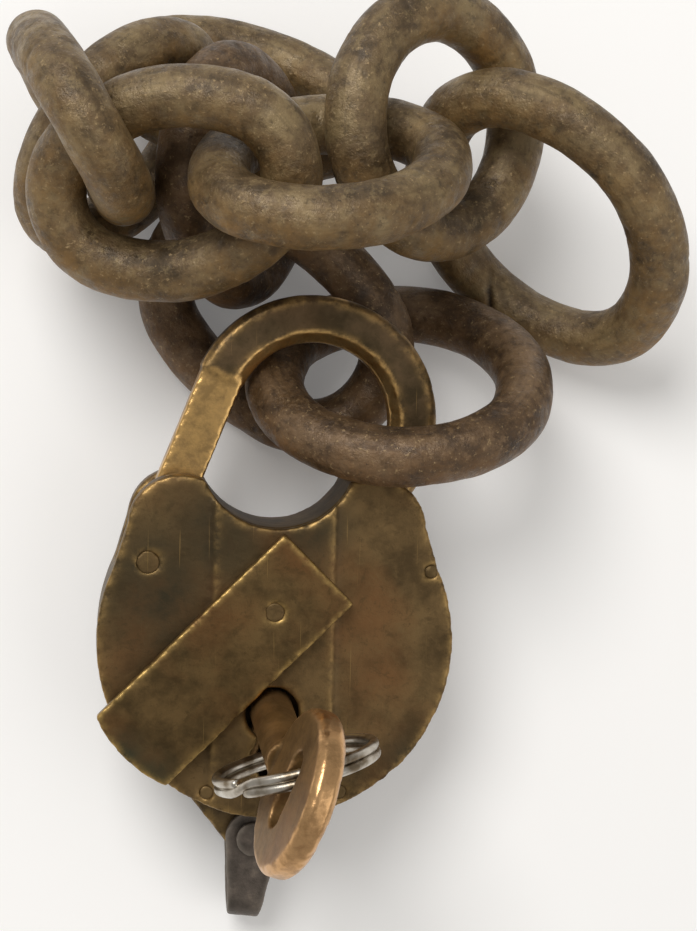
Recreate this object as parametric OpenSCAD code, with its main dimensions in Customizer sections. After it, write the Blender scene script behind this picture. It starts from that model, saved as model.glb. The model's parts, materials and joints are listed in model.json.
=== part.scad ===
// Heart-shaped brass padlock with its key, locked through the first link of a heap of forged chain.
// Millimetres. The table is z = 0, +Y runs from the lock's foot towards its shackle.

/* [Case] */
// Radius of the round lower part of the case
case_r = 36; // [33:0.5:40]
// Depth of the closed case, back to front face
case_depth = 24; // [22:0.5:27]
// Height of the two lobes' centres above the centre of the round
lobe_rise = 23; // [21:0.5:25]
// Distance of each lobe's centre from the middle line
lobe_x = 19.5; // [18.5:0.5:21]
// Radius of each lobe
lobe_r = 10.6; // [10:0.1:12]
// Radius of the notch between the lobes
notch_r = 16; // [15:0.5:17]
// Thickness of the case's side wall
wall = 3; // [2.4:0.1:3.4]
// Thickness of the case's back
back_t = 2.4; // [1.6:0.1:3.2]
// Thickness of the front plate
plate_t = 1.6; // [1.2:0.1:2.2]
// Width of the raised panel down the front plate
panel_w = 24.3; // [20:0.1:28]
// How far the raised panel stands proud
panel_h = 0.8; // [0.4:0.1:1.2]
// Thickness of the tail that carries the clevis
tail_t = 5; // [4:0.5:6]
// Diameter of the case rivets
case_rivet_d = 2.4; // [1.8:0.1:2.8]

/* [Shackle] */
// Radius of the bow, to the middle of its section
bow_r = 20.65; // [19:0.05:22]
// Width of the bow's section
bow_w = 9.8; // [8.6:0.1:11]
// Depth of the bow's section, front to back
bow_t = 9; // [8:0.1:10]
// Width of the narrower limb that enters the left lobe
heel_w = 8.8; // [8:0.1:9.6]
// Diameter of the hinge pin
hinge_pin_d = 4; // [3:0.1:5]
// Clearance all round the shackle where it enters the case
slot_gap = 0.4; // [0.3:0.05:0.8]
// How far the shackle swings open
swing_deg = 70; // [40:5:80]

/* [Keyhole cover] */
// Width of the swinging keyhole cover
cover_w = 20; // [18:0.1:22]
// Length of the cover
cover_l = 54; // [48:0.5:58]
// Thickness of the cover
cover_t = 2.5; // [1.8:0.1:3]
// Pivot to the cover's top edge
cover_top = 12.4; // [10:0.1:14]
// Diameter of the cover's rivet
cover_rivet_d = 3.2; // [2.4:0.1:4]
// Angle of the cover at rest, clockwise from hanging straight down
cover_turn = 45; // [45:1:60]

/* [Key] */
// Diameter of the key's stem
stem_d = 8.8; // [7.6:0.1:9.2]
// Diameter of the drilled end of the stem
bore_d = 5.4; // [5:0.1:6]
// Length of stem between the plate and the bow
stem_out = 22; // [19:0.5:26]
// Diameter of the round bow
key_bow_d = 32; // [28:0.5:34]
// Thickness of the round bow
key_bow_t = 5.4; // [4.4:0.1:6.4]
// Length of the slot through the bow
bow_slot_l = 15.4; // [14:0.1:17]
// Width of the slot through the bow
bow_slot_w = 6.4; // [5.6:0.1:7]
// Reach of the bit from the stem's middle
bit_reach = 13; // [11:0.1:13.4]
// Thickness of the bit
bit_t = 3.2; // [2.4:0.1:3.6]
// Diameter of the keyhole in the front plate
keyhole_d = 10.8; // [10.4:0.1:11.4]
// Lean of the key towards the foot of the lock
key_lean_y = 12; // [0:1:14]
// Lean of the key to the right
key_lean_x = 4; // [0:1:6]
// Turn of the key from the bit slot, clockwise
key_turn = 20; // [15:1:30]
// Outer diameter of the split ring
ring_d = 33; // [30:0.5:34]
// Diameter of the ring's wire
ring_wire_d = 2; // [1.6:0.1:2.2]

/* [Bolt] */
// Thickness of the bolt plate
bolt_t = 3; // [2.4:0.1:3.4]
// Height of the bolt's head where it enters the shackle
bolt_head_h = 3.4; // [3:0.1:4.6]
// Travel of the bolt
bolt_throw = 5; // [4:0.1:5.4]
// Diameter of the bolt's guide pins
guide_pin_d = 2.4; // [2:0.1:3]

/* [Clevis] */
// Width of the clevis at its rivet
clevis_w = 11.4; // [10:0.1:12.4]
// Width of the clevis at its folded end
clevis_end_w = 6.4; // [5:0.1:8]
// Rivet to folded end
clevis_l = 17.6; // [15:0.1:20]
// Thickness of each leg
clevis_t = 2; // [1.6:0.1:2.4]
// Diameter of the clevis rivet's shank
clevis_rivet_d = 3.6; // [3:0.1:4.2]
// Lean of the clevis to the left at rest
clevis_turn = 6; // [0:1:15]

/* [Chain] */
// Diameter of the links' round bar
rod_d = 12.5; // [11:0.1:12.6]

/* [Pose] */
// Tilt of the lock, whose shackle rests on the chain
lock_tilt = 11; // [9:0.5:12]

/* [Hidden] */
$fn = 64;

run = 0.05;                                  // radial running fit of a pin
seat = 0.02;                                 // radial fit of a rivet that is set fast
brass = [0.43, 0.34, 0.20];
bright_brass = [0.66, 0.50, 0.28];
iron = [0.42, 0.35, 0.26];
dark_iron = [0.26, 0.23, 0.20];
steel = [0.70, 0.68, 0.62];

// places in the lock's own frame: x from its middle line, y from its foot, z from its back
round_y = case_r;
lobe_y = round_y + lobe_rise;
notch_y = lobe_y + notch_r;
plate_z = case_depth - plate_t;
panel_z = case_depth + panel_h;
mid_z = case_depth / 2;
pin_x = -(lobe_x + 6.4);
pin_y = lobe_y - 7;
bow_x = 7.4;
bow_y = lobe_y + 21.4;
heel_angle = 155;                            // where the bow meets the heel limb
toe_angle = -43;                             // where the bow meets the toe
toe_r = norm([bow_x + bow_r * cos(toe_angle) - pin_x, bow_y + bow_r * sin(toe_angle) - pin_y]);
toe_top = atan2(bow_y + bow_r * sin(toe_angle) - pin_y, bow_x + bow_r * cos(toe_angle) - pin_x);
toe_low = -4;
toe_w = 9;
heel_eye_d = heel_w + 0.6;
heel_x = bow_x + bow_r * cos(heel_angle);
heel_y = bow_y + bow_r * sin(heel_angle);
heel_dir = atan2(heel_y - pin_y, heel_x - pin_x);
heel_l = norm([heel_x - pin_x, heel_y - pin_y]);
rivet_spots = [[31.2, round_y + 14.5], [-13.4, 5.4], [13.4, 5.4]];
cover_y = round_y + 6.6;
cover_x = -0.6;
cover_z = panel_z + 0.1;
key_x = -0.5;
key_y = round_y - 14.5;
key_z = case_depth;
ward_top = mid_z + bolt_t / 2;
head_y = pin_y + 1.5;
tail_x = -3.4;
tail_y = -6;
lug_r = 5.4;
clevis_gap = 0.3;
lock_x = -14.8;
lock_y = -66;
shift_x = -0.13;                             // brings the middle of the whole to x = 0
shift_y = -5.34;                             // and to y = 0

module lock_frame() {
    translate([lock_x + shift_x, lock_y + shift_y, 0]) rotate([lock_tilt, 0, 0]) children();
}

// a disc-shaped set of arc pieces: a ring sector from angle a0 to a1 about the origin
module ring_sector(r, w, h, a0, a1) {
    rotate([0, 0, a0]) rotate_extrude(angle = a1 - a0) translate([r - w / 2, -h / 2]) square([w, h]);
}

// ---- case -------------------------------------------------------------------------------

flank_phi = atan2(lobe_rise, -lobe_x);
flank_n = flank_phi + acos((case_r - lobe_r) / norm([lobe_x, lobe_rise]));

// the heart: a round, two lobes, flat flanks set a hair inside them, and the notch
module heart(h, inset = 0) {
    body = case_r - inset;
    lobe = lobe_r - inset;
    in_body = body - 0.3;
    in_lobe = lobe - 0.3;
    difference() {
        union() {
            translate([0, round_y, 0]) cylinder(r = body, h = h);
            for (side = [-1, 1]) translate([side * lobe_x, lobe_y, 0]) cylinder(r = lobe, h = h);
            linear_extrude(h) polygon([
                [in_body * cos(flank_n), round_y + in_body * sin(flank_n)],
                [-lobe_x + in_lobe * cos(flank_n), lobe_y + in_lobe * sin(flank_n)],
                [-lobe_x, lobe_y + 4],
                [lobe_x, lobe_y + 4],
                [lobe_x - in_lobe * cos(flank_n), lobe_y + in_lobe * sin(flank_n)],
                [-in_body * cos(flank_n), round_y + in_body * sin(flank_n)],
            ]);
        }
        translate([0, notch_y, -1]) cylinder(r = notch_r + inset, h = h + 2);
    }
}

// the room that the heel limb sweeps as the shackle swings open about its pin
module heel_sweep(gap) {
    half = heel_w / 2 + gap;
    reach = 40;
    a0 = heel_dir;
    a1 = heel_dir + swing_deg;
    circle(d = heel_eye_d + 2 * gap);
    polygon([
        [half * sin(a0), -half * cos(a0)],
        [half * sin(a0) + reach * cos(a0), -half * cos(a0) + reach * sin(a0)],
        [reach * 1.3 * cos((a0 + a1) / 2), reach * 1.3 * sin((a0 + a1) / 2)],
        [-half * sin(a1) + reach * cos(a1), half * cos(a1) + reach * sin(a1)],
        [-half * sin(a1), half * cos(a1)],
    ]);
}

room_h = bow_t + 2 * slot_gap;

// the case's hollow shell with its rivet bosses, opened where the shackle swings in and out
module shell() {
    difference() {
        difference() {
            difference() {
                union() {
                    difference() {
                        heart(plate_z);
                        translate([0, 0, back_t]) heart(case_depth, wall);
                    }
                    intersection() {
                        for (spot = rivet_spots)
                            translate([spot[0], spot[1], 0]) cylinder(r = 3, h = plate_z);
                        heart(plate_z);
                    }
                }
                translate([pin_x, pin_y, mid_z - room_h / 2]) linear_extrude(room_h)
                    heel_sweep(slot_gap);
            }
            translate([pin_x, pin_y, mid_z])
                ring_sector(toe_r, toe_w + 2 * slot_gap, room_h, toe_low - 1.5, 55);
        }
        translate([bow_x, bow_y, mid_z])
            ring_sector(bow_r, bow_w + 2 * slot_gap, room_h + 0.4, toe_angle - 6, -22);
    }
}

module rivet_row(d, extra) {
    for (spot = rivet_spots) translate([spot[0], spot[1], -extra])
        cylinder(d = d, h = case_depth + 2 * extra);
}

module tail() {
    translate([0, 0, mid_z - tail_t / 2]) linear_extrude(tail_t) union() {
        translate([tail_x, tail_y]) circle(lug_r);
        polygon([
            [tail_x - 17, 7],
            [tail_x + lug_r * cos(218), tail_y + lug_r * sin(218)],
            [tail_x + lug_r * cos(322), tail_y + lug_r * sin(322)],
            [tail_x + 17, 7],
        ]);
    }
}

module case_back() {
    color(brass) lock_frame() difference() {
        union() {
            shell();
            difference() {
                tail();
                translate([0, round_y, 0]) cylinder(r = case_r - wall / 2, h = case_depth);
            }
            // curved ward under the path of the bit
            translate([key_x, key_y, (back_t + ward_top) / 2 - 0.3])
                ring_sector(9.4, 1.2, ward_top - back_t + 0.6, -170, -60);
        }
        rivet_row(case_rivet_d + 2 * seat, 1);
        translate([pin_x, pin_y, -1]) cylinder(d = hinge_pin_d + 2 * seat, h = case_depth + 2);
        translate([tail_x, tail_y, 0]) cylinder(d = clevis_rivet_d + 2 * seat, h = case_depth);
        for (spot = guide_spots) translate([spot[0], spot[1], -1])
            cylinder(d = guide_pin_d + 2 * seat, h = back_t + 2);
        translate([post_x, post_y, -1]) cylinder(d = post_d + 2 * seat, h = back_t + 2);
    }
}

module keyhole() {
    neck = 2.8;
    wide = 4.4;
    end = 2;
    translate([key_x, key_y]) {
        circle(d = keyhole_d);
        polygon([
            [-neck, 0], [-neck, -5.2], [-wide, -8.4], [-end, -13.4], [-end, -15],
            [end, -15], [end, -13.4], [wide, -8.4], [neck, -5.2], [neck, 0],
        ]);
    }
}

module front_plate() {
    color(brass) lock_frame() difference() {
        union() {
            translate([0, 0, plate_z]) heart(plate_t);
            intersection() {
                translate([0, 0, plate_z]) heart(plate_t + panel_h);
                translate([cover_x - panel_w / 2, -1, 0]) cube([panel_w, notch_y, 2 * case_depth]);
            }
        }
        translate([0, 0, plate_z - 1]) linear_extrude(plate_t + panel_h + 2) keyhole();
        rivet_row(case_rivet_d + 2 * seat, 3);
        translate([pin_x, pin_y, 0]) cylinder(d = hinge_pin_d + 2 * seat, h = case_depth + 2);
        translate([cover_x, cover_y, 0]) cylinder(d = cover_rivet_d + 2 * seat, h = case_depth + 2);
    }
}

module case_rivets() {
    color(bright_brass) lock_frame() rivet_row(case_rivet_d, 0);
}

// ---- keyhole cover ----------------------------------------------------------------------

// the cover hangs from its rivet along -y; its lower end is bowed
module cover_shape() {
    end_r = 30;
    sag = end_r - sqrt(end_r * end_r - cover_w * cover_w / 4);
    intersection() {
        translate([-cover_w / 2, cover_top - cover_l]) square([cover_w, cover_l]);
        translate([0, cover_top - cover_l + end_r]) circle(end_r);
    }
    translate([-cover_w / 2, cover_top - cover_l + sag]) square([cover_w, cover_l - sag]);
}

module keyhole_cover() {
    color(brass) lock_frame() translate([cover_x, cover_y, cover_z]) rotate([0, 0, -cover_turn])
        difference() {
            linear_extrude(cover_t) cover_shape();
            translate([0, 0, -1]) cylinder(d = cover_rivet_d + 2 * run, h = cover_t + 2);
        }
}

module cover_rivet() {
    color(bright_brass) lock_frame() translate([cover_x, cover_y, 0]) {
        translate([0, 0, plate_z - 1.2]) cylinder(d = cover_rivet_d + 2.6, h = 1.2);
        translate([0, 0, plate_z - 0.5]) cylinder(d = cover_rivet_d, h = cover_z + cover_t - plate_z + 0.5);
    }
}

// ---- shackle ----------------------------------------------------------------------------

// section of the bow: flat front and back, the inner edge chamfered most
module bow_section() {
    w = bow_w / 2;
    t = bow_t / 2;
    polygon([
        [-w + 2.2, t], [w - 1.2, t], [w, t - 1.2], [w, -t + 1.2], [w - 1.2, -t],
        [-w + 2.2, -t], [-w, -t + 2.2], [-w, t - 2.2],
    ]);
}

module shackle() {
    notch_gap = 1.4;
    color(brass) lock_frame() difference() {
        union() {
            translate([bow_x, bow_y, mid_z]) rotate([0, 0, toe_angle])
                rotate_extrude(angle = heel_angle - toe_angle) translate([bow_r, 0]) bow_section();
            translate([pin_x, pin_y, mid_z]) rotate([0, 0, heel_dir])
                translate([0, -heel_w / 2, -bow_t / 2 + 0.5]) cube([heel_l + 1, heel_w, bow_t - 1]);
            translate([pin_x, pin_y, mid_z - bow_t / 2 + 0.4]) cylinder(d = heel_eye_d, h = bow_t - 0.8);
            translate([pin_x, pin_y, mid_z]) ring_sector(toe_r, toe_w, bow_t - 0.6, toe_low, toe_top + 1);
        }
        translate([pin_x, pin_y, 0]) cylinder(d = hinge_pin_d + 2 * run, h = case_depth);
        // nick filed right through the toe, which the bolt's head enters
        translate([pin_x + toe_r - toe_w / 2 - 3, head_y - bolt_head_h / 2 - notch_gap, mid_z - bow_t])
            cube([bolt_throw + 3.4, bolt_head_h + 2 * notch_gap, 2 * bow_t]);
    }
}

module hinge_pin() {
    color(bright_brass) lock_frame() translate([pin_x, pin_y, 0]) cylinder(d = hinge_pin_d, h = case_depth);
}

// ---- lock work --------------------------------------------------------------------------

bolt_tip = pin_x + toe_r - toe_w / 2 - 0.7;
arm_x = 8.6;
arm_w = 11.4;
guide_spots = [[10, head_y - 0.5], [17, round_y - 2]];

module guide_slot(spot) {
    d = guide_pin_d + 2 * run;
    for (x = [spot[0] - bolt_throw - 0.3, spot[0] + 0.3]) translate([x, spot[1]]) circle(d = d);
    translate([spot[0] - bolt_throw - 0.3, spot[1] - d / 2]) square([bolt_throw + 0.6, d]);
}

module bolt() {
    color(dark_iron) lock_frame() {
        translate([0, 0, mid_z - bolt_t / 2]) linear_extrude(bolt_t) difference() {
            union() {
                translate([2, head_y - 3]) square([arm_x + 2, 5.4]);
                translate([arm_x, head_y - bolt_head_h / 2])
                    square([bolt_tip - arm_x, bolt_head_h]);
                translate([arm_x, round_y - 12]) square([arm_w, 23]);
                translate([arm_x, round_y - 12]) square([6, head_y - round_y + 13]);
            }
            for (spot = guide_spots) guide_slot(spot);
        }
        // talon that the key's bit pushes
        translate([arm_x, key_y - 11, mid_z - bolt_t / 2]) cube([4, 15, bolt_t + 4.5]);
    }
}

module guide_pins() {
    color(steel) lock_frame() for (spot = guide_spots) translate([spot[0], spot[1], 0])
        cylinder(d = guide_pin_d, h = mid_z + bolt_t / 2 + 1);
}

module detent_spring() {
    foot_x = 25;
    foot_y = round_y - 5;
    leaf_z = mid_z - bolt_t / 2 - 0.9;
    color(steel) lock_frame() {
        translate([foot_x, foot_y, back_t]) cylinder(d = 4, h = leaf_z - back_t + 0.6);
        translate([foot_x - 15, foot_y - 1.5, leaf_z]) cube([15, 3, 0.6]);
    }
}

post_d = 3;
post_x = key_x - 7 * tan(key_lean_x);
post_y = key_y + 7 * tan(key_lean_y);

module key_post() {
    color(steel) lock_frame() translate([post_x, post_y, 0]) cylinder(d = post_d, h = key_z - 6);
}

// ---- key --------------------------------------------------------------------------------

bow_mid = stem_out + key_bow_d / 2 - 2;
tip_z = 9;

module key_frame() {
    lock_frame() translate([key_x, key_y, key_z]) rotate([key_lean_y, key_lean_x, 0])
        rotate([0, 0, -key_turn]) children();
}

// round bow with softened rims, its flat faces towards +x and -x
module key_bow() {
    r = key_bow_d / 2;
    t = key_bow_t / 2;
    translate([0, 0, bow_mid]) rotate([0, 90, 0]) rotate_extrude()
        polygon([[0, -t], [r - 1.2, -t], [r, -t + 1.2], [r, t - 1.2], [r - 1.2, t], [0, t]]);
}

module bow_slot() {
    half = (bow_slot_l - bow_slot_w) / 2;
    translate([0, 0, bow_mid]) rotate([0, 90, 0]) {
        for (y = [-half, half]) translate([0, y, -key_bow_t])
            cylinder(d = bow_slot_w, h = 2 * key_bow_t);
        translate([-bow_slot_w / 2, -half, -key_bow_t]) cube([bow_slot_w, 2 * half, 2 * key_bow_t]);
    }
}

module key() {
    color(bright_brass) key_frame() difference() {
        union() {
            translate([0, 0, -tip_z]) cylinder(d = stem_d, h = tip_z + stem_out + 1);
            key_bow();
            translate([-bit_t / 2, -bit_reach, -7.6]) cube([bit_t, bit_reach, 4]);
        }
        translate([0, 0, -tip_z - 1]) cylinder(d = bore_d, h = tip_z + 5);
        bow_slot();
        // ward cut across the bit
        translate([-bit_t, -10.4, -8]) cube([2 * bit_t, 1.6, 2.2]);
    }
}

// two close turns of wire, hung through the bow's slot and leaning on the stem
ring_yaw = 34;                               // turn of the ring from the bow's face
ring_lean = 17;                              // lean of the ring's lower side away from the stem
hang_y = 2.7;
hang_z = bow_mid - bow_slot_w / 2 + 2.2;

module key_ring() {
    r = (ring_d - ring_wire_d) / 2;
    color(steel) key_frame() translate([0, hang_y, hang_z]) rotate([0, 0, ring_yaw])
        rotate([-ring_lean, 0, 0]) translate([0, 0, -r]) rotate([90, 0, 0]) rotate_extrude()
            for (y = [-0.45, 0.45]) translate([r, y * ring_wire_d]) circle(d = ring_wire_d);
}

// ---- clevis -----------------------------------------------------------------------------

clevis_depth = tail_t + 2 * (clevis_gap + clevis_t);

module clevis() {
    bend_r = clevis_depth / 2;
    color(dark_iron) lock_frame() translate([tail_x, tail_y, mid_z]) rotate([0, 0, -clevis_turn])
        difference() {
            intersection() {
                translate([0, 0, -clevis_depth / 2]) linear_extrude(clevis_depth) union() {
                    circle(d = clevis_w);
                    polygon([
                        [-clevis_w / 2, 0], [-clevis_end_w / 2, -clevis_l],
                        [clevis_end_w / 2, -clevis_l], [clevis_w / 2, 0],
                    ]);
                }
                union() {
                    translate([-clevis_w, -clevis_l + bend_r, -clevis_depth])
                        cube([2 * clevis_w, 2 * clevis_l, 2 * clevis_depth]);
                    translate([-clevis_w, -clevis_l + bend_r, 0]) rotate([0, 90, 0])
                        cylinder(r = bend_r, h = 2 * clevis_w);
                }
            }
            translate([-clevis_w, -clevis_l + bend_r, -tail_t / 2 - clevis_gap])
                cube([2 * clevis_w, 2 * clevis_l, tail_t + 2 * clevis_gap]);
            translate([-clevis_w, -clevis_l + bend_r, 0]) rotate([0, 90, 0])
                cylinder(r = tail_t / 2 + clevis_gap, h = 2 * clevis_w);
            translate([0, 0, -clevis_depth]) cylinder(d = clevis_rivet_d + 2 * run, h = 2 * clevis_depth);
        }
}

module clevis_rivet() {
    head_h = 1.2;
    half = clevis_depth / 2 + 0.1;
    color(dark_iron) lock_frame() translate([tail_x, tail_y, mid_z]) {
        translate([0, 0, -half - 0.5]) cylinder(d = clevis_rivet_d, h = 2 * half + 1);
        for (side = [0, 1]) mirror([0, 0, side]) translate([0, 0, half]) cylinder(d = 7.2, h = head_h);
    }
}

// ---- chain ------------------------------------------------------------------------------

// an oval link of round bar: two tight end arcs and two wide side arcs, with a slight forged
// swelling where they run together
module oval_link(length, width) {
    end_r = length < 64 ? 14 : 17;
    a = (length - rod_d) / 2;
    b = (width - rod_d) / 2;
    side_r = (pow(a - end_r, 2) + b * b - end_r * end_r) / (2 * (b - end_r));
    spread = atan2(a - end_r, side_r - b);
    for (flip = [0, 180]) rotate([0, 0, flip]) {
        translate([a - end_r, 0, 0]) rotate([0, 0, spread - 89])
            rotate_extrude(angle = 178 - 2 * spread) translate([end_r, 0]) circle(d = rod_d);
        translate([0, b - side_r, 0]) rotate([0, 0, 90.3 - spread])
            rotate_extrude(angle = 2 * spread - 0.6) translate([side_r, 0]) circle(d = rod_d);
        for (side = [-1, 1])
            translate([a - end_r + end_r * sin(spread), side * end_r * cos(spread), 0])
                rotate([90, 0, side * (90 - spread)]) sphere(d = rod_d + 0.2);
    }
}

// each link: centre, then roll about its length, pitch and turn, then its length and width
link_pose = [
    [[11, 19, 25.5], [36, 31, 152], 66, 63],
    [[-14, 34, 13.5], [23, 1, -42], 65, 49],
    [[-23, 62.5, 22.5], [48, -30, 100], 57, 48],
    [[-21.5, 81.5, 16.5], [-35, -6, -18], 61, 45],
    [[-47, 70, 22], [60, 4, 50], 58, 47],
    [[-55, 68, 43], [102, -64, -71], 62, 46],
    [[-37, 53, 50.5], [27, -24, 12], 61, 47],
    [[-6, 56.5, 53], [-44, 23, 24], 60, 51],
    [[17, 70, 41], [-32, 15, -87], 57, 56],
    [[41.5, 53, 28.5], [57, 23, -52], 73, 62],
];

module chain_link(n) {
    pose = link_pose[n - 1];
    color(iron) translate(pose[0] + [shift_x, shift_y, 0]) rotate(pose[1]) oval_link(pose[2], pose[3]);
}

case_back();
front_plate();
case_rivets();
keyhole_cover();
cover_rivet();
shackle();
hinge_pin();
bolt();
guide_pins();
detent_spring();
key_post();
key();
key_ring();
clevis();
clevis_rivet();
chain_link(1);  // link_1
chain_link(2);  // link_2
chain_link(3);  // link_3
chain_link(4);  // link_4
chain_link(5);  // link_5
chain_link(6);  // link_6
chain_link(7);  // link_7
chain_link(8);  // link_8
chain_link(9);  // link_9
chain_link(10);  // link_10
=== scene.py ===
import bpy
import itertools
import json
import math
import numpy as np
from mathutils import Matrix, Vector


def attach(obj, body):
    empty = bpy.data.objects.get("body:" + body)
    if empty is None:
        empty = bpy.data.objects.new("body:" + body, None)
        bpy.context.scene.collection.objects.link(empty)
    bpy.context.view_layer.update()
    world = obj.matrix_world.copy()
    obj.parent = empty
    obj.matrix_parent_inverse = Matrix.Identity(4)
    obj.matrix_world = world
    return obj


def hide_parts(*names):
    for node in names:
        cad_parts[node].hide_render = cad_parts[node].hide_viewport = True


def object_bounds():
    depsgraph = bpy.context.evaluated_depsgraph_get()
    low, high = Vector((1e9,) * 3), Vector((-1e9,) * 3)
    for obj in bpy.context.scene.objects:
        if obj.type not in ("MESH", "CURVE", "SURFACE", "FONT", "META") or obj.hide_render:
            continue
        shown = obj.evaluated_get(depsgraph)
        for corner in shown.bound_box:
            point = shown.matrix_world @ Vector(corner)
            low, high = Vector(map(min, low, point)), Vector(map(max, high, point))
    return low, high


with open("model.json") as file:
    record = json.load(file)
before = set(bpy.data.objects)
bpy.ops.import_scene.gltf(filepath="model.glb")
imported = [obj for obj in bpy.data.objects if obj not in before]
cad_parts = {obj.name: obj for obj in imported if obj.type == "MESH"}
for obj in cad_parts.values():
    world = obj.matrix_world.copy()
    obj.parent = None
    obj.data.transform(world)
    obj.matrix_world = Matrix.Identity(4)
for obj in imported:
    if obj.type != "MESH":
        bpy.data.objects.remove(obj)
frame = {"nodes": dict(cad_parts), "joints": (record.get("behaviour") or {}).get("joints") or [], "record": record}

cad_low, cad_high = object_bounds()
scene = bpy.context.scene
scene.view_settings.view_transform = "Standard"


# ---- camera and studio -------------------------------------------------------------------
# The lock lies on a pale table. The camera looks down on it from a little towards the
# lock's foot and left side.

camera_data = bpy.data.cameras.new("camera")
camera = bpy.data.objects.new("camera", camera_data)
scene.collection.objects.link(camera)
scene.camera = camera
aim = Vector((-0.00013, -0.00440, 0.029))
lean = math.tan(math.radians(6.5))
back = Vector((-lean, -lean, 1)).normalized()
distance = 0.4                                    # metres from the aim
camera.location = aim + distance * back
right = Vector((0, 1, 0)).cross(back).normalized()
camera.rotation_euler = Matrix((right, back.cross(right), back)).transposed().to_euler()
camera_data.sensor_fit = "VERTICAL"
camera_data.angle = math.radians(26.8)
camera_data.clip_start = 0.01


def linear(code):
    """An sRGB hex colour as linear red, green, blue and alpha."""
    parts = [int(code[i:i + 2], 16) / 255 for i in (1, 3, 5)]
    return [p / 12.92 if p <= 0.04045 else ((p + 0.055) / 1.055) ** 2.4 for p in parts] + [1]


def add(owner, kind, settings=None, links=None):
    """Adds a node, sets its properties and sockets, and links outputs into it."""
    node = owner.node_tree.nodes.new(kind)
    for name, value in (settings or {}).items():
        if name == "stops":
            ramp = node.color_ramp.elements
            while len(ramp) < len(value):
                ramp.new(0.5)
            for stop, (place, code) in zip(ramp, value):
                stop.position, stop.color = place, linear(code)
        elif isinstance(name, str) and hasattr(node, name):
            setattr(node, name, value)
        else:
            node.inputs[name].default_value = value
    for name, output in (links or {}).items():
        owner.node_tree.links.new(output, node.inputs[name])
    return node


def empty_material(name):
    """A material with a bare shader and output, and that shader."""
    material = bpy.data.materials.new(name)
    material.use_nodes = True
    material.node_tree.nodes.clear()
    shader = add(material, "ShaderNodeBsdfPrincipled")
    add(material, "ShaderNodeOutputMaterial", links={"Surface": shader.outputs[0]})
    return material, shader


def seen_white(owner):
    """One for a ray from the camera, a reflection or through glass, and else nothing."""
    path = add(owner, "ShaderNodeLightPath")
    first = add(owner, "ShaderNodeMath", {"operation": "MAXIMUM"},
                {0: path.outputs["Is Camera Ray"], 1: path.outputs["Is Glossy Ray"]})
    return add(owner, "ShaderNodeMath", {"operation": "MAXIMUM"},
               {0: first.outputs[0], 1: path.outputs["Is Transmission Ray"]}).outputs[0]


table_card, table_shader = empty_material("matt_white_table_card")
table_shader.inputs["Base Color"].default_value = linear("#f1efec")
table_shader.inputs["Roughness"].default_value = 0.9
table_shader.inputs["Specular IOR Level"].default_value = 0.1
table_shader.inputs["Emission Color"].default_value = (1, 1, 1, 1)
glow = add(table_card, "ShaderNodeMath", {"operation": "MULTIPLY", 1: 0.12}, {0: seen_white(table_card)})
table_card.node_tree.links.new(glow.outputs[0], table_shader.inputs["Emission Strength"])
table_gap = 0.0002                                # metres, so that no face of the chain lies in the table's
bpy.ops.mesh.primitive_grid_add(x_subdivisions=4, y_subdivisions=4, size=4,
                                location=(0, 0, cad_low[2] - table_gap))
table = bpy.context.object
table.name = "table"
table.data.materials.append(table_card)

world = bpy.data.worlds.new("studio")
scene.world = world
world.use_nodes = True
world.node_tree.nodes.clear()
room = add(world, "ShaderNodeBackground", {"Color": (1, 0.985, 0.96, 1), "Strength": 0.42})
card = add(world, "ShaderNodeBackground", {"Color": (1, 1, 1, 1), "Strength": 1.0})
path = add(world, "ShaderNodeLightPath")
choice = add(world, "ShaderNodeMixShader", links={
    0: path.outputs["Is Camera Ray"], 1: room.outputs[0], 2: card.outputs[0]})
add(world, "ShaderNodeOutputWorld", links={"Surface": choice.outputs[0]})

for name, place, size, watts in (("window", (-0.30, 0.38, 0.78), 0.55, 5.2),
                                 ("fill", (0.55, -0.35, 0.70), 0.70, 1.3)):
    lamp = bpy.data.lights.new(name, "AREA")
    lamp.shape, lamp.size, lamp.energy = "DISK", size, watts
    stand = bpy.data.objects.new(name, lamp)
    stand.location = place
    stand.rotation_euler = (Vector(place) - aim).to_track_quat("Z", "Y").to_euler()
    scene.collection.objects.link(stand)


# ---- case back ---------------------------------------------------------------------------
# The heart-shaped back shell and its side wall are one sand casting in yellow brass, filed
# smooth, and long since tarnished to a dull olive brown with the corners rubbed bright.

body_of = {node: body for body, nodes in frame["record"]["behaviour"]["bodies"].items()
           for node in nodes}
lock_place = Matrix.Translation((-0.01493, -0.07134, 0)) @ Matrix.Rotation(math.radians(11), 4, "X")


def cloud(points, size, seed):
    """Smooth random values from -1 to 1 that change over about one size, in the points' unit."""
    place = points / size + seed * 7.31
    cell = np.floor(place).astype(np.int64)
    part = place - cell
    part = part * part * (3 - 2 * part)
    total = np.zeros(len(points))
    for corner in itertools.product((0, 1), repeat=3):
        x, y, z = (cell + corner).T
        mix = (x * 73856093 ^ y * 19349663 ^ z * 83492791 ^ seed * 2654435761) & 0xFFFFFFFF
        mix = ((mix ^ (mix >> 15)) * 2246822519) & 0xFFFFFFFF
        mix = ((mix ^ (mix >> 13)) * 3266489917) & 0xFFFFFFFF
        share = np.prod([part[:, k] if corner[k] else 1 - part[:, k] for k in range(3)], axis=0)
        total += share * ((mix >> 16) / 32767.5 - 1)
    return total


def set_values(mesh, name, values):
    """Keeps one number for each vertex, for a material to read."""
    mesh.attributes.new(name, "FLOAT", "POINT").data.foreach_set("value", np.float32(values))


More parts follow.
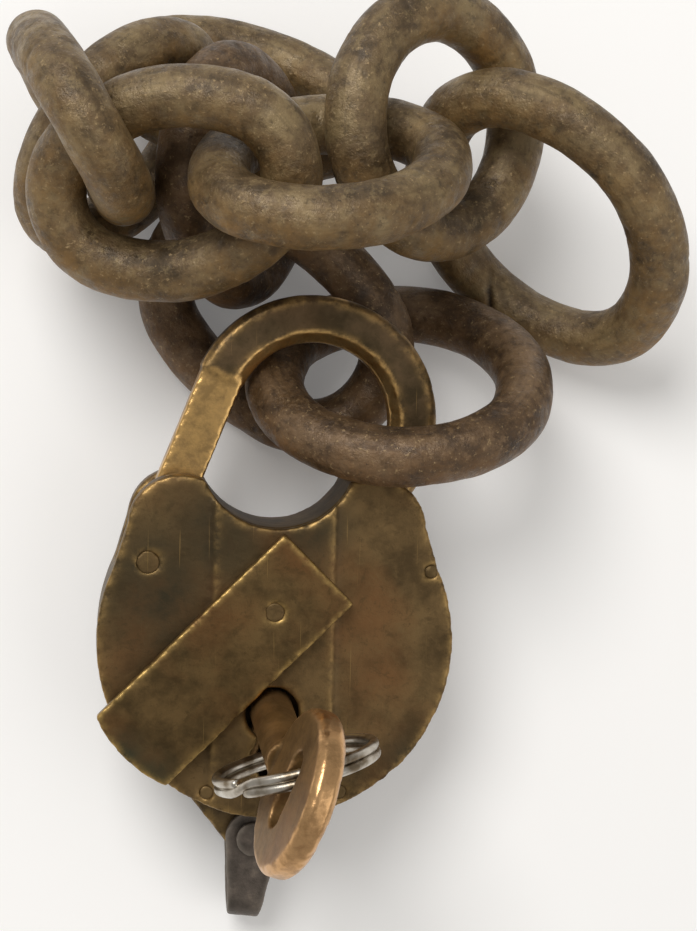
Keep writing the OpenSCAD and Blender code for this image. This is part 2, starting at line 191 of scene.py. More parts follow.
def points_of(mesh):
    """A mesh's vertices and their normals, in mm."""
    spots = np.empty(len(mesh.vertices) * 3, np.float32)
    faces = spots.copy()
    mesh.vertices.foreach_get("co", spots)
    mesh.vertices.foreach_get("normal", faces)
    return 1000.0 * spots.reshape(-1, 3), faces.reshape(-1, 3).astype(float)


def in_place(points, matrix):
    """World points in mm, seen from a frame given in metres."""
    inverse = np.array(matrix.inverted())
    return points @ inverse[:3, :3].T + 1000 * inverse[:3, 3]


def worn_copy(node, grain, dent, seed, soften=2):
    """A node's solid in an even mesh, its corners rubbed round and its faces a little uneven.
    grain is the mesh size and dent the depth of the dents, in mm."""
    piece = bpy.data.objects.new(node + "_worn", frame["nodes"][node].data.copy())
    scene.collection.objects.link(piece)
    even = piece.modifiers.new("even", "REMESH")
    even.mode, even.voxel_size = "VOXEL", grain / 1000
    graph = bpy.context.evaluated_depsgraph_get()
    mesh = bpy.data.meshes.new_from_object(piece.evaluated_get(graph))
    piece.modifiers.clear()
    piece.data = mesh
    spots, normals = points_of(mesh)
    ends = np.empty(len(mesh.edges) * 2, np.int32)
    mesh.edges.foreach_get("vertices", ends)
    one, two = np.vstack([ends.reshape(-1, 2), ends.reshape(-1, 2)[:, ::-1]]).T
    count = np.bincount(one, minlength=len(spots))[:, None]

    def eased(shape, times):
        for _ in range(times):
            shape = np.column_stack([np.bincount(one, shape[two, k], len(shape)) for k in range(3)]) / count
        return shape
    spots = eased(spots, soften)
    rounder = eased(spots, 6)
    height = np.sum((spots - rounder) * normals, axis=1) / grain
    set_values(mesh, "edge", np.clip(height * 2.2, 0, 1))
    # painted shade: concave creases and hollows get a share here that the materials darken
    set_values(mesh, "corner_dirt", np.clip(-height * 2.2, 0, 1))
    uneven = 0.7 * cloud(spots, 9, seed) + 0.3 * cloud(spots, 3, seed + 1) - 0.35
    nicks = np.clip(height * 3, 0, 1) * np.clip(cloud(spots, 1.6, seed + 2) - 0.15, 0, 1)
    spots += normals * (dent * uneven - 0.28 * nicks)[:, None]
    mesh.vertices.foreach_set("co", np.float32(spots / 1000).ravel())
    mesh.shade_smooth()
    mesh.update()
    mesh.materials.clear()
    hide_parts(node)
    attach(piece, body_of[node])
    return piece


def tarnished_brass(name, brown, dark, ruddy, bright, stain="#3a3220", rub=1.0, rough=0.44):
    """Filed brass under old tarnish: cloudy brown patches 8 to 20 mm across, dark specks,
    long hair scratches, and corners rubbed back to yellow metal. Polished parts are rubbed metal with lighter
    patches of painted highlight; marked patches are stains and, on the case and plate, painted shade; creases are
    darkened as painted shade."""
    material, shader = empty_material(name)
    at = add(material, "ShaderNodeTexCoord").outputs["Object"]
    patches = add(material, "ShaderNodeTexNoise", {"Scale": 1 / 0.008, "Detail": 6, "Roughness": 0.62},
                  {"Vector": at})
    tone = add(material, "ShaderNodeValToRGB", {"stops": [(0.36, dark), (0.62, brown)]},
               {"Fac": patches.outputs[0]})
    warm = add(material, "ShaderNodeTexNoise", {"Scale": 1 / 0.020, "Detail": 4}, {"Vector": at})
    warmth = add(material, "ShaderNodeMapRange", {"From Min": 0.48, "From Max": 0.70, "To Max": 0.75},
                 {"Value": warm.outputs[0]})
    tone = add(material, "ShaderNodeMix", {"data_type": "RGBA", 7: linear(ruddy)},
               {0: warmth.outputs[0], 6: tone.outputs[0]})
    # specks of black oxide, 1 mm
    specks = add(material, "ShaderNodeTexNoise", {"Scale": 1 / 0.0011, "Detail": 3, "Roughness": 0.7},
                 {"Vector": at})
    speck = add(material, "ShaderNodeMapRange", {"From Min": 0.60, "From Max": 0.72, "To Max": 0.55},
                {"Value": specks.outputs[0]})
    tone = add(material, "ShaderNodeMix", {"data_type": "RGBA", 7: linear(dark)},
               {0: speck.outputs[0], 6: tone.outputs[2]})
    # handling marks, 3 mm smears
    smears = add(material, "ShaderNodeTexNoise", {"Scale": 1 / 0.0032, "Detail": 6, "Roughness": 0.72,
                                                  "Distortion": 0.6}, {"Vector": at})
    smear = add(material, "ShaderNodeMapRange", {"From Min": 0.53, "From Max": 0.66, "To Max": 0.5},
                {"Value": smears.outputs[0]})
    tone = add(material, "ShaderNodeMix", {"data_type": "RGBA", 7: linear(brown)},
               {0: smear.outputs[0], 6: tone.outputs[2]})
    dull = add(material, "ShaderNodeMapRange", {"From Min": 0.47, "From Max": 0.34, "To Max": 0.55},
               {"Value": smears.outputs[0]})
    tone = add(material, "ShaderNodeMix", {"data_type": "RGBA", 7: linear(dark)},
               {0: dull.outputs[0], 6: tone.outputs[2]})
    marks = add(material, "ShaderNodeAttribute", {"attribute_name": "stain"})
    cloudy = add(material, "ShaderNodeMath", {"operation": "MULTIPLY"},
                 {0: marks.outputs["Fac"], 1: patches.outputs[0]})
    cloudy = add(material, "ShaderNodeMath", {"operation": "MULTIPLY", 1: 1.6, "use_clamp": True},
                 {0: cloudy.outputs[0]})
    # marked stains; on the case and plate the left lobe's patches are also painted shade
    tone = add(material, "ShaderNodeMix", {"data_type": "RGBA", 7: linear(stain)},
               {0: cloudy.outputs[0], 6: tone.outputs[2]})
    # hair scratches in two directions, drawn 0.2 mm wide so that they show
    lines = None
    for turn in (0.5, -0.9):
        along = add(material, "ShaderNodeMapping",
                    {"Rotation": (0, 0, turn), "Scale": (1 / 0.0005, 1 / 0.022, 30)},
                    {"Vector": at})
        hair = add(material, "ShaderNodeTexNoise", {"Scale": 1.0, "Detail": 1}, {"Vector": along.outputs[0]})
        line = add(material, "ShaderNodeMapRange", {"From Min": 0.74, "From Max": 0.80, "To Max": 0.30},
                   {"Value": hair.outputs[0]})
        lines = line if lines is None else add(material, "ShaderNodeMath", {"operation": "MAXIMUM"},
                                               {0: lines.outputs[0], 1: line.outputs[0]})
    edge = add(material, "ShaderNodeAttribute", {"attribute_name": "edge"})
    polish = add(material, "ShaderNodeAttribute", {"attribute_name": "polish"})
    patchy = add(material, "ShaderNodeTexNoise", {"Scale": 1 / 0.003, "Detail": 4, "Roughness": 0.65},
                 {"Vector": at})
    patchy = add(material, "ShaderNodeMapRange", {"From Min": 0.38, "From Max": 0.62},
                 {"Value": patchy.outputs[0]})
    rubbed = add(material, "ShaderNodeMath", {"operation": "MULTIPLY"},
                 {0: edge.outputs["Fac"], 1: patchy.outputs[0]})
    rubbed = add(material, "ShaderNodeMath", {"operation": "MULTIPLY", 1: rub}, {0: rubbed.outputs[0]})
    # painted highlight: polished parts brighten in lighter patches that stand in for highlights on the rubbed
    # metal
    polish_and_highlight_patches = add(material, "ShaderNodeMapRange", {"To Min": 0.45, "To Max": 1.0}, {"Value": patchy.outputs[0]})
    polish_and_highlight_patches = add(material, "ShaderNodeMath", {"operation": "MULTIPLY"},
                {0: polish.outputs["Fac"], 1: polish_and_highlight_patches.outputs[0]})
    rubbed = add(material, "ShaderNodeMath", {"operation": "ADD"},
                 {0: rubbed.outputs[0], 1: polish_and_highlight_patches.outputs[0]})
    rubbed = add(material, "ShaderNodeMath", {"operation": "ADD", "use_clamp": True},
                 {0: rubbed.outputs[0], 1: lines.outputs[0]})
    tone = add(material, "ShaderNodeMix", {"data_type": "RGBA", 7: linear(bright)},
               {0: rubbed.outputs[0], 6: tone.outputs[2]})
    # painted shade: creases and hollows are darkened towards a near-black brown
    crease_shade_mask = add(material, "ShaderNodeAttribute", {"attribute_name": "corner_dirt"})
    crease_shade_share = add(material, "ShaderNodeMath", {"operation": "MULTIPLY", 1: 0.55}, {0: crease_shade_mask.outputs["Fac"]})
    tone = add(material, "ShaderNodeMix", {"data_type": "RGBA", 7: linear("#2a2015")},
               {0: crease_shade_share.outputs[0], 6: tone.outputs[2]})
    rougher = add(material, "ShaderNodeMapRange", {"To Min": rough + 0.06, "To Max": rough - 0.10},
                  {"Value": rubbed.outputs[0]})
    metal = add(material, "ShaderNodeMapRange", {"To Min": 0.72, "To Max": 1.0}, {"Value": rubbed.outputs[0]})
    bumps = add(material, "ShaderNodeBump", {"Strength": 0.10, "Distance": 0.0001},
                {"Height": specks.outputs[0]})
    bumps = add(material, "ShaderNodeBump", {"Strength": 0.12, "Distance": 0.0003},
                {"Height": patchy.outputs[0], "Normal": bumps.outputs[0]})
    for socket, output in (("Base Color", tone.outputs[2]), ("Roughness", rougher.outputs[0]),
                           ("Metallic", metal.outputs[0]), ("Normal", bumps.outputs[0])):
        material.node_tree.links.new(output, shader.inputs[socket])
    return material


def mark_stain_and_shade(piece, *spots):
    """Marks soft round stains and patches of painted shade, each a place in the lock's own frame and a radius, in
    mm.
    """
    points = in_place(points_of(piece.data)[0], lock_place)
    depth = np.zeros(len(points))
    for x, y, radius in spots:
        away = np.hypot(points[:, 0] - x, points[:, 1] - y) / radius
        depth = np.maximum(depth, np.clip(1.3 - away, 0, 1))
    set_values(piece.data, "stain", depth)


cast_brass = tarnished_brass("sand_cast_brass_tarnished_brown", "#6a5638", "#403320", "#684a2c", "#a38550",
                             rub=0.8)
case_back = worn_copy("case_back", 0.62, 0.12, 11)
# the spot over the left lobe is painted shade as well as a stain: that lobe is darkened where less light falls
# than on the right one
mark_stain_and_shade(case_back, (-22, 30, 12), (4, -2, 10))
case_back.data.materials.append(cast_brass)


# ---- front plate -------------------------------------------------------------------------
# A heart-shaped plate of sheet brass with a raised middle panel and the keyhole, riveted
# over the shell. Its rim is rubbed to a thin bright line.

plate_brass = tarnished_brass("rolled_brass_plate_tarnished_olive", "#715a38", "#4c3b21", "#76522f",
                              "#b1905a", rub=0.8)
front_plate = worn_copy("front_plate", 0.5, 0.07, 23)
# the three spots over the left lobe are painted shade as well as a stain: that lobe is darkened where less light
# falls than on the right one
mark_stain_and_shade(front_plate, (-24, 48, 14), (-18, 34, 12), (-12, 58, 12), (6, 60, 9), (27, 12, 6))
front_plate.data.materials.append(plate_brass)


# ---- rivets and pins of the case ---------------------------------------------------------
# Brass wire rivets hammered flush with the plate, the cover's rivet, and the pin that the
# shackle's heel turns on. Their filed ends show as faint rings.

def in_world(points, matrix):
    """Points in mm in a frame given in metres, as world points in mm."""
    matrix = np.array(matrix)
    return points @ matrix[:3, :3].T + 1000 * matrix[:3, 3]


rivet_brass = tarnished_brass("hammered_brass_wire_tarnished", "#6f5937", "#4a3a20", "#70502f", "#b39356",
                              rub=0.4)
head_r, core_r, flare = 4, 0.3, 0.32              # mm: hammering has spread each head a little
# top is the height at which the heads begin and middles are their places, in the lock's frame
for node, seed, top, middles in (
        ("case_rivets", 31, 23.4, ((31.2, 50.5), (13.4, 5.4), (-13.4, 5.4))),
        ("cover_rivet", 33, 26.9, ((-0.6, 42.6),)), ("hinge_pin", 35, 23.4, ((-25.9, 52),))):
    rivet = worn_copy(node, 0.2, 0.01, seed)
    spots = points_of(rivet.data)[0]
    local = in_place(spots, lock_place)
    for x, y in middles:
        out = local[:, :2] - (x, y)
        near = np.hypot(*out.T)
        head = (near < head_r) & (near > core_r) & (local[:, 2] > top)
        local[head, :2] += (out[head] / near[head, None] * flare
                            * np.clip(near[head, None] - core_r, 0, 1))
    rivet.data.vertices.foreach_set("co", np.float32(in_world(local, lock_place) / 1000).ravel())
    rivet.data.update()
    quiet = rivet.data.attributes["edge"].data
    quiet.foreach_set("value", np.zeros(len(quiet), np.float32))
    rivet.data.materials.append(rivet_brass)


# ---- keyhole cover -----------------------------------------------------------------------
# A strip of thick brass plate that hangs from its rivet and drops over the keyhole. Thumbs
# have rubbed its rims, and damp has greened its lower end.

cover_brass = tarnished_brass("sawn_brass_strip_tarnished", "#6c5532", "#45351a", "#704b28", "#b8985c",
                              stain="#333828")
cover = worn_copy("keyhole_cover", 0.4, 0.06, 41)
mark_stain_and_shade(cover, (-30, 14, 5), (-26, 8, 7), (-18, 4, 6))
cover.data.materials.append(cover_brass)


# ---- shackle -----------------------------------------------------------------------------
# A cast brass bow, filed flat on both faces. The chain has rubbed its inner edge bright, and
# hands have polished the limb by the hinge to a coppery gold.

shackle_brass = tarnished_brass("cast_brass_bow_rubbed_bright", "#655138", "#42351f", "#5c452b", "#cfa76a",
                                rough=0.40)
shackle = worn_copy("shackle", 0.42, 0.10, 53)
spots, normals = points_of(shackle.data)
local = in_place(spots, lock_place)
bow_x, bow_y, rubbed_r = 7.4, 80.4, 18.5          # mm: the bow's middle, and how far from it the chain rubs
from_bow = np.hypot(local[:, 0] - bow_x, local[:, 1] - bow_y)
on_bow = np.clip((local[:, 1] - 62) / 4, 0, 1)
inner = np.clip((rubbed_r + 0.5 * cloud(spots, 4, 54) - from_bow) / 0.4, 0, 1) * on_bow
left = np.clip((-9.5 + 1.2 * cloud(spots, 3, 55) - local[:, 0]) / 1.5, 0, 1)
left = left * np.clip((91 + 2 * cloud(spots, 3, 56) - local[:, 1]) / 1.5, 0, 1)
# the inner edge and the limb are rubbed metal; their lighter patches in the material are painted highlights
set_values(shackle.data, "polish", np.clip(0.95 * inner + 0.9 * left, 0, 1))
shackle.data.materials.append(shackle_brass)


# ---- lock work inside the case -----------------------------------------------------------
# The sliding bolt is filed iron; its guide pins, the leaf spring and the pin that the hollow
# key turns on are drawn steel. Grease has kept them grey, with brown rust in the hollows.

def filed_iron(name, grey, rust, rough):
    """Filed grey metal: fine file strokes 0.4 mm apart, with rust in 3 mm blooms."""
    material, shader = empty_material(name)
    at = add(material, "ShaderNodeTexCoord").outputs["Object"]
    strokes = add(material, "ShaderNodeMapping", {"Scale": (1 / 0.0004, 1 / 0.008, 1 / 0.0004)},
                  {"Vector": at})
    file_marks = add(material, "ShaderNodeTexNoise", {"Scale": 1.0, "Detail": 2},
                     {"Vector": strokes.outputs[0]})
    blooms = add(material, "ShaderNodeTexNoise", {"Scale": 1 / 0.003, "Detail": 5}, {"Vector": at})
    share = add(material, "ShaderNodeMapRange", {"From Min": 0.48, "From Max": 0.62},
                {"Value": blooms.outputs[0]})
    tone = add(material, "ShaderNodeMix", {"data_type": "RGBA", 6: linear(grey), 7: linear(rust)},
               {0: share.outputs[0]})
    rougher = add(material, "ShaderNodeMapRange", {"To Min": rough, "To Max": 0.8},
                  {"Value": share.outputs[0]})
    metal = add(material, "ShaderNodeMapRange", {"To Min": 1.0, "To Max": 0.2}, {"Value": share.outputs[0]})
    bumps = add(material, "ShaderNodeBump", {"Strength": 0.3, "Distance": 0.0001},
                {"Height": file_marks.outputs[0]})
    for socket, output in (("Base Color", tone.outputs[2]), ("Roughness", rougher.outputs[0]),
                           ("Metallic", metal.outputs[0]), ("Normal", bumps.outputs[0])):
        material.node_tree.links.new(output, shader.inputs[socket])
    return material


bolt_iron = filed_iron("filed_iron_bolt_greased", "#57514a", "#4a2f1c", 0.42)
drawn_steel = filed_iron("drawn_steel_spotted_with_rust", "#7d7a74", "#5a3a22", 0.3)
for node, metal in (("bolt", bolt_iron), ("guide_pins", drawn_steel), ("detent_spring", drawn_steel),
                    ("key_post", drawn_steel)):
    for place in frame["nodes"][node].material_slots:
        place.material = metal


# ---- key ---------------------------------------------------------------------------------
# A hollow-stemmed key cast in redder brass and handled every day: the bow's rim is rubbed to
# a soft gold, and the bow's flat faces and the stem keep a thin brown tarnish.

key_brass = tarnished_brass("cast_brass_key_worn_by_hands", "#8a6a3f", "#644a28", "#8a603a", "#cda272",
                            rub=0.7, rough=0.40)
key = worn_copy("key", 0.34, 0.05, 61)
spots, normals = points_of(key.data)
turn = next(j for j in frame["joints"] if j["name"] == "key_turn")
start, along = 1000 * np.array(turn["pos_m"]), np.array(turn["axis"])
bow_at, bow_from, rim_r = 36, 21, 14.6            # mm: the bow's middle and start up the stem, its rim
from_bow = np.linalg.norm(spots - (start + bow_at * along), axis=1)
height = (spots - start) @ along
rim = (np.clip((from_bow + 0.4 * cloud(spots, 2, 62) - rim_r) / 0.6, 0, 1)
       * np.clip((height - bow_from) / 1.5, 0, 1))
# the rim is rubbed metal; its lighter patches in the material are painted highlight
set_values(key.data, "polish", 0.95 * rim)
key.data.materials.append(key_brass)


# ---- split ring --------------------------------------------------------------------------
# Two close turns of nickel-plated steel wire, sprung over the key's bow. The plating is
# dulled to a soft grey, with a little brown where it has worn through.

def swept(name, path, across, up, radii, closed):
    """A tube along a path in mm: across and up span each section, and radii has a row for
    each point of the path and a column for each side."""
    count, sides = radii.shape
    turns = np.arange(sides) * 2 * math.pi / sides
    out = across[:, None, :] * np.cos(turns)[None, :, None] + up[:, None, :] * np.sin(turns)[None, :, None]
    spots = (path[:, None, :] + out * radii[:, :, None]).reshape(-1, 3)
    rows = np.arange(count if closed else count - 1)[:, None]
    cols = np.arange(sides)[None, :]
    after, beside = (rows + 1) % count, (cols + 1) % sides
    faces = np.stack([rows * sides + cols, rows * sides + beside,
                      after * sides + beside, after * sides + cols], -1)
    faces = [list(map(int, face)) for face in faces.reshape(-1, 4)]
    if not closed:
        faces += [list(range(sides))[::-1], list(range((count - 1) * sides, count * sides))]
    mesh = bpy.data.meshes.new(name)
    mesh.from_pydata((spots / 1000).tolist(), [], faces)
    mesh.shade_smooth()
    mesh.update()
    piece = bpy.data.objects.new(name, mesh)
    scene.collection.objects.link(piece)
    return piece


def turned(x, y, z):
    """A turn about x, then y, then z, in degrees."""
    return (Matrix.Rotation(math.radians(z), 4, "Z") @ Matrix.Rotation(math.radians(y), 4, "Y")
            @ Matrix.Rotation(math.radians(x), 4, "X"))


nickel, shader = empty_material("nickel_plated_spring_wire_dulled")
at = add(nickel, "ShaderNodeTexCoord").outputs["Object"]
worn = add(nickel, "ShaderNodeTexNoise", {"Scale": 1 / 0.004, "Detail": 5}, {"Vector": at})
tone = add(nickel, "ShaderNodeValToRGB", {"stops": [(0.35, "#7a6c58"), (0.5, "#b3ab9e"), (0.68, "#cdc8be")]},
           {"Fac": worn.outputs[0]})
dull = add(nickel, "ShaderNodeMapRange", {"To Min": 0.42, "To Max": 0.2}, {"Value": worn.outputs[0]})
drawn = add(nickel, "ShaderNodeTexNoise", {"Scale": 1 / 0.0004, "Detail": 2}, {"Vector": at})
bumps = add(nickel, "ShaderNodeBump", {"Strength": 0.1, "Distance": 0.0001}, {"Height": drawn.outputs[0]})
shader.inputs["Metallic"].default_value = 1.0
for socket, output in (("Base Color", tone.outputs[0]), ("Roughness", dull.outputs[0]),
                       ("Normal", bumps.outputs[0])):
    nickel.node_tree.links.new(output, shader.inputs[socket])

ring_r, wire_r, end_r = 15.5, 0.98, 0.80          # mm: the ring, its wire, and the wire's filed ends
key_place = lock_place @ Matrix.Translation((-0.0005, 0.0215, 0.024)) @ turned(12, 4, 0) @ turned(0, 0, -20)
ring_place = (key_place @ Matrix.Translation((0, 0.0027, 0.035)) @ turned(0, 0, 34) @ turned(-17, 0, 0)
              @ Matrix.Translation((0, 0, -ring_r / 1000)) @ turned(90, 0, 0))
wind = np.linspace(0, 2, 300)                     # turns of wire
side = np.clip((wind - 0.96) / 0.08, 0, 1)
side = 1.8 * side * side * (3 - 2 * side) - 0.9   # mm across from one turn to the next
begin = 2.45                                      # radians, where the wire's ends lie
wound = begin + 2 * math.pi * wind * 0.992
path = np.column_stack([ring_r * np.cos(wound), ring_r * np.sin(wound), side])
across = np.column_stack([np.cos(wound), np.sin(wound), 0 * wound])
up = np.tile([0.0, 0.0, 1.0], (len(wound), 1))
wire = np.full((len(wound), 28), wire_r)
wire[0] = wire[-1] = end_r
spin = np.array(ring_place)[:3, :3].T
ring = swept("split_ring_wire", in_world(path, ring_place), across @ spin, up @ spin, wire, False)
ring.data.materials.append(nickel)
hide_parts("key_ring")
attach(ring, body_of["key_ring"])


# ---- clevis and its rivet ----------------------------------------------------------------
# A strap of wrought iron bent double over the lock's tail and held by a hammered rivet. Its
# forge scale has gone blue-black, with a dusting of brown rust.

def scaled_iron(name, black, brown, pale):
    """Forged iron under scale: dark patches 5 mm across, rust dust, and a hammered surface."""
    material, shader = empty_material(name)
    at = add(material, "ShaderNodeTexCoord").outputs["Object"]
    patches = add(material, "ShaderNodeTexNoise", {"Scale": 1 / 0.005, "Detail": 6, "Roughness": 0.65},
                  {"Vector": at})
    tone = add(material, "ShaderNodeValToRGB", {"stops": [(0.36, black), (0.58, brown), (0.74, pale)]},
               {"Fac": patches.outputs[0]})
    edge = add(material, "ShaderNodeAttribute", {"attribute_name": "edge"})
    rubbed = add(material, "ShaderNodeMath", {"operation": "MULTIPLY", 1: 0.55}, {0: edge.outputs["Fac"]})
    tone = add(material, "ShaderNodeMix", {"data_type": "RGBA", 7: linear("#8d8377")},
               {0: rubbed.outputs[0], 6: tone.outputs[0]})
    # painted shade: creases and hollows are darkened to near black
    crease_shade_mask = add(material, "ShaderNodeAttribute", {"attribute_name": "corner_dirt"})
    tone = add(material, "ShaderNodeMix", {"data_type": "RGBA", 7: linear("#15110e")},
               {0: crease_shade_mask.outputs["Fac"], 6: tone.outputs[2]})
    grit = add(material, "ShaderNodeTexNoise", {"Scale": 1 / 0.0007, "Detail": 4, "Roughness": 0.7},
               {"Vector": at})
    rougher = add(material, "ShaderNodeMapRange", {"To Min": 0.36, "To Max": 0.62},
                  {"Value": patches.outputs[0]})
    bumps = add(material, "ShaderNodeBump", {"Strength": 0.45, "Distance": 0.0003},
                {"Height": grit.outputs[0]})
    bumps = add(material, "ShaderNodeBump", {"Strength": 0.5, "Distance": 0.0008},
                {"Height": patches.outputs[0], "Normal": bumps.outputs[0]})
    shader.inputs["Metallic"].default_value = 0.55
    for socket, output in (("Base Color", tone.outputs[2]), ("Roughness", rougher.outputs[0]),
                           ("Normal", bumps.outputs[0])):
        material.node_tree.links.new(output, shader.inputs[socket])
    return material


strap_iron = scaled_iron("wrought_iron_strap_blue_black", "#3d362f", "#5d534a", "#7a6d60")
for node, seed in (("clevis", 71), ("clevis_rivet", 73)):
    strap = worn_copy(node, 0.3, 0.10, seed)
    strap.data.materials.append(strap_iron)


# ---- chain links -------------------------------------------------------------------------
# Ten heavy links of half-inch wrought iron bar, each bent hot to an oval and its ends lapped
# and forge-welded. The rust is old, brown and tight, and handling has given it a dull shine.

link_poses = [  # middle in mm, turns about x, y, z in degrees, length and width in mm
    ((11, 19, 25.5), (36, 31, 152), 66, 63), ((-14, 34, 13.5), (23, 1, -42), 65, 49),
    ((-23, 62.5, 22.5), (48, -30, 100), 57, 48), ((-21.5, 81.5, 16.5), (-35, -6, -18), 61, 45),
    ((-47, 70, 22), (60, 4, 50), 58, 47), ((-55, 68, 43), (102, -64, -71), 62, 46),
    ((-37, 53, 50.5), (27, -24, 12), 61, 47), ((-6, 56.5, 53), (-44, 23, 24), 60, 51),
    ((17, 70, 41), (-32, 15, -87), 57, 56), ((41.5, 53, 28.5), (57, 23, -52), 73, 62)]
heap_shift = (-0.13, -5.34, 0)                    # mm, which brings the heap over the frame's middle
bar = 12.5 / 2                                    # mm, half of a half-inch bar
streak_stretch = 300                              # the larger, the longer the streaks along a bar
weld_at = {10: 0.86}                              # share of the way round where a lap shows


def oval(length, width, steps):
    """Points along the middle of a link's bar and the outward direction at each, in mm."""
    end = 14 if length < 64 else 17
    a, b = length / 2 - bar, width / 2 - bar
    side = ((a - end) ** 2 + b * b - end * end) / (2 * (b - end))
    spread = math.atan2(a - end, side - b)
    arcs = []
    for half in (0, math.pi):
        flip = np.array([math.cos(half), math.sin(half)])
        arcs.append((flip * (a - end), end, half - math.pi / 2 + spread, half + math.pi / 2 - spread))
        arcs.append((np.array([-flip[1], flip[0]]) * (b - side), side,
                     half + math.pi / 2 - spread, half + math.pi / 2 + spread))
    whole = sum(r * (t1 - t0) for _, r, t0, t1 in arcs)
    middle, outward = [], []
    for centre, r, t0, t1 in arcs:
        share = np.arange(0, 1, 1 / max(8, round(steps * r * (t1 - t0) / whole)))
        lean = t0 + share * (t1 - t0)
        way = np.column_stack([np.cos(lean), np.sin(lean), 0 * lean])
        middle.append(way * r + [centre[0], centre[1], 0])
        outward.append(way)
    return np.vstack(middle), np.vstack(outward), whole


def forged_rust(name, browns, bounce_colour):
    """Old tight rust on forged bar: brown patches 5 to 12 mm across, streaks along the bar,
    a warm yellow-brown painted bounce light in patches on the sides that face down the frame and towards the
    table, small black pits, and a dull shine where it is rubbed."""
    material, shader = empty_material(name)
    at = add(material, "ShaderNodeTexCoord").outputs["Object"]
    patches = add(material, "ShaderNodeTexNoise", {"Scale": 1 / 0.010, "Detail": 7, "Roughness": 0.66},
                  {"Vector": at})
    tone = add(material, "ShaderNodeValToRGB",
               {"stops": [(0.34, browns[0]), (0.48, browns[1]), (0.64, browns[2])]},
               {"Fac": patches.outputs[0]})
    grain = add(material, "ShaderNodeAttribute", {"attribute_name": "grain"})
    grain_end = add(material, "ShaderNodeAttribute", {"attribute_name": "grain_end"})
    streaks = add(material, "ShaderNodeTexNoise",
                  {"noise_dimensions": "4D", "Scale": 1 / 0.0011, "Detail": 4},
                  {"Vector": grain.outputs["Vector"], "W": grain_end.outputs["Fac"]})
    streak = add(material, "ShaderNodeMapRange", {"From Min": 0.5, "From Max": 0.68, "To Max": 0.5},
                 {"Value": streaks.outputs[0]})
    tone = add(material, "ShaderNodeMix", {"data_type": "RGBA", 7: linear(browns[0])},
               {0: streak.outputs[0], 6: tone.outputs[0]})
    # mottling, 2 mm
    mottle = add(material, "ShaderNodeTexNoise", {"Scale": 1 / 0.0024, "Detail": 6, "Roughness": 0.72},
                 {"Vector": at})
    light = add(material, "ShaderNodeMapRange", {"From Min": 0.52, "From Max": 0.62, "To Max": 0.55},
                {"Value": mottle.outputs[0]})
    tone = add(material, "ShaderNodeMix", {"data_type": "RGBA", 7: linear(browns[2])},
               {0: light.outputs[0], 6: tone.outputs[2]})
    shade = add(material, "ShaderNodeMapRange", {"From Min": 0.46, "From Max": 0.36, "To Max": 0.6},
                {"Value": mottle.outputs[0]})
    tone = add(material, "ShaderNodeMix", {"data_type": "RGBA", 7: linear(browns[0])},
               {0: shade.outputs[0], 6: tone.outputs[2]})
    # painted light: the sides marked in the mesh take a warm yellow-brown tone in patches, standing in for warm
    # bounce light
    dust = add(material, "ShaderNodeAttribute", {"attribute_name": "dust"})
    patch_noise = add(material, "ShaderNodeTexNoise", {"Scale": 1 / 0.0035, "Detail": 6, "Roughness": 0.7},
                {"Vector": at})
    bounce_patches = add(material, "ShaderNodeMapRange", {"From Min": 0.36, "From Max": 0.62},
                 {"Value": patch_noise.outputs[0]})
    bounce_lit_share = add(material, "ShaderNodeMath", {"operation": "MULTIPLY"},
                {0: dust.outputs["Fac"], 1: bounce_patches.outputs[0]})
    tone = add(material, "ShaderNodeMix", {"data_type": "RGBA", 7: linear(bounce_colour)},
               {0: bounce_lit_share.outputs[0], 6: tone.outputs[2]})
    # pale crumbs and black pits, about 1 mm
    crumbs = add(material, "ShaderNodeTexNoise", {"Scale": 1 / 0.0010, "Detail": 3, "Roughness": 0.75},
                 {"Vector": at})
    crumb = add(material, "ShaderNodeMapRange", {"From Min": 0.60, "From Max": 0.70, "To Max": 0.7},
                {"Value": crumbs.outputs[0]})
    tone = add(material, "ShaderNodeMix", {"data_type": "RGBA", 7: linear("#a98f66")},
               {0: crumb.outputs[0], 6: tone.outputs[2]})
    pit = add(material, "ShaderNodeMapRange", {"From Min": 0.36, "From Max": 0.26, "To Max": 0.8},
              {"Value": crumbs.outputs[0]})
    pits = add(material, "ShaderNodeAttribute", {"attribute_name": "pit"})
    pit = add(material, "ShaderNodeMath", {"operation": "MAXIMUM"},
              {0: pit.outputs[0], 1: pits.outputs["Fac"]})
    tone = add(material, "ShaderNodeMix", {"data_type": "RGBA", 7: linear("#2b2118")},
               {0: pit.outputs[0], 6: tone.outputs[2]})
    shine = add(material, "ShaderNodeMapRange",
                {"From Min": 0.40, "From Max": 0.60, "To Min": 0.34, "To Max": 0.60},
                {"Value": patch_noise.outputs[0]})
    heights = add(material, "ShaderNodeBump", {"Strength": 0.5, "Distance": 0.00035},
                  {"Height": crumbs.outputs[0]})
    heights = add(material, "ShaderNodeBump", {"Strength": 0.5, "Distance": 0.0009},
                  {"Height": patch_noise.outputs[0], "Normal": heights.outputs[0]})
    shader.inputs["Metallic"].default_value = 0.3
    for socket, output in (("Base Color", tone.outputs[2]), ("Roughness", shine.outputs[0]),
                           ("Normal", heights.outputs[0])):
        material.node_tree.links.new(output, shader.inputs[socket])
    return material


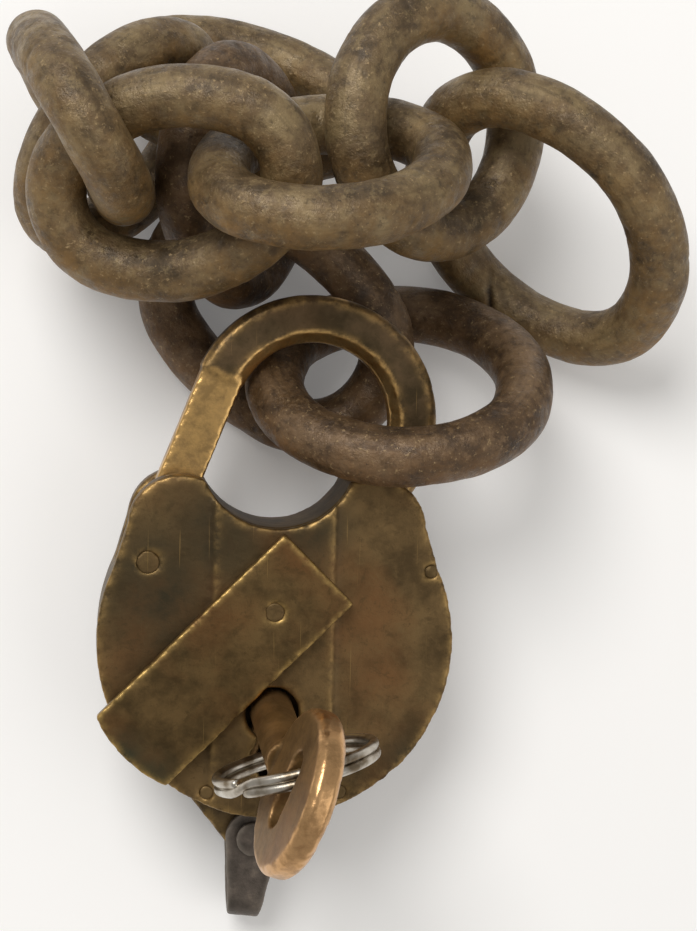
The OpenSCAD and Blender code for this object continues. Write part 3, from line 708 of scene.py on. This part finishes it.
grey_rust = forged_rust("forged_iron_grey_brown_rust", ("#41331f", "#675338", "#877350"), "#8c6a3a")
red_rust = forged_rust("forged_iron_red_brown_rust", ("#38291a", "#59432b", "#7b6246"), "#7d5b36")
for number, (centre, turns, length, width) in enumerate(link_poses, 1):
    middle, outward, whole = oval(length, width, 300)
    sides = 56
    share = np.arange(len(middle)) / len(middle)
    turn_by = np.arange(sides) * 2 * math.pi / sides
    out = (outward[:, None, :] * np.cos(turn_by)[None, :, None]
           + np.array([0, 0, 1.0]) * np.sin(turn_by)[None, :, None])
    skin = (middle[:, None, :] + bar * out).reshape(-1, 3)
    shape = (0.26 * cloud(skin, 13, number) + 0.14 * cloud(skin, 5, number + 20)
             + 0.05 * cloud(skin, 1.8, number + 40))
    hollow = np.clip(cloud(skin, 2.2, number + 60) - 0.55, 0, 1)
    shape = np.minimum(shape - 0.20, 0.05) - 0.6 * hollow
    shape = shape.reshape(len(middle), sides)
    lap = np.zeros_like(shape)
    if number in weld_at:
        line = weld_at[number] + 0.035 * np.cos(turn_by - 1.0)[None, :]
        away = (share[:, None] - line) * whole
        lap = np.exp(-(away / 0.8) ** 2) * np.clip(0.4 + np.cos(turn_by - 1.2), 0, 1)[None, :]
        shape = shape - 1.1 * lap
    shifted = [(c + s) / 1000 for c, s in zip(centre, heap_shift)]
    frame_of = Matrix.Translation(shifted) @ turned(*turns)
    spin = np.array(frame_of)[:3, :3].T
    rise = np.tile([0.0, 0.0, 1.0], (len(middle), 1))
    link = swept(f"link_{number}_forged", in_world(middle, frame_of), outward @ spin, rise @ spin,
                 bar + shape, True)
    faces_up = out.reshape(-1, 3) @ spin
    # painted light: sides that face down the frame and towards the table are marked for a warm bounce light tone,
    # broken up by noise
    bounce_lit = np.clip(0.35 - 0.55 * faces_up[:, 1] - 0.25 * faces_up[:, 2]
                  + 0.35 * cloud(skin, 8, number + 80), 0, 1)
    set_values(link.data, "dust", bounce_lit)
    set_values(link.data, "pit", np.clip(1.2 * hollow + lap.ravel(), 0, 1))
    round_bar = np.stack([
        np.tile(np.cos(turn_by), (len(middle), 1)), np.tile(np.sin(turn_by), (len(middle), 1)),
        np.repeat(np.cos(2 * math.pi * share)[:, None], sides, 1) * whole / streak_stretch], -1)
    grain = link.data.attributes.new("grain", "FLOAT_VECTOR", "POINT")
    grain.data.foreach_set("vector", np.float32(round_bar * bar / 1000).ravel())
    set_values(link.data, "grain_end",
               np.repeat(np.sin(2 * math.pi * share), sides) * whole / streak_stretch * bar / 1000)
    link.data.materials.append(red_rust if number in (1, 2, 3) else grey_rust)
    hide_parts(f"link_{number}")
    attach(link, body_of[f"link_{number}"])
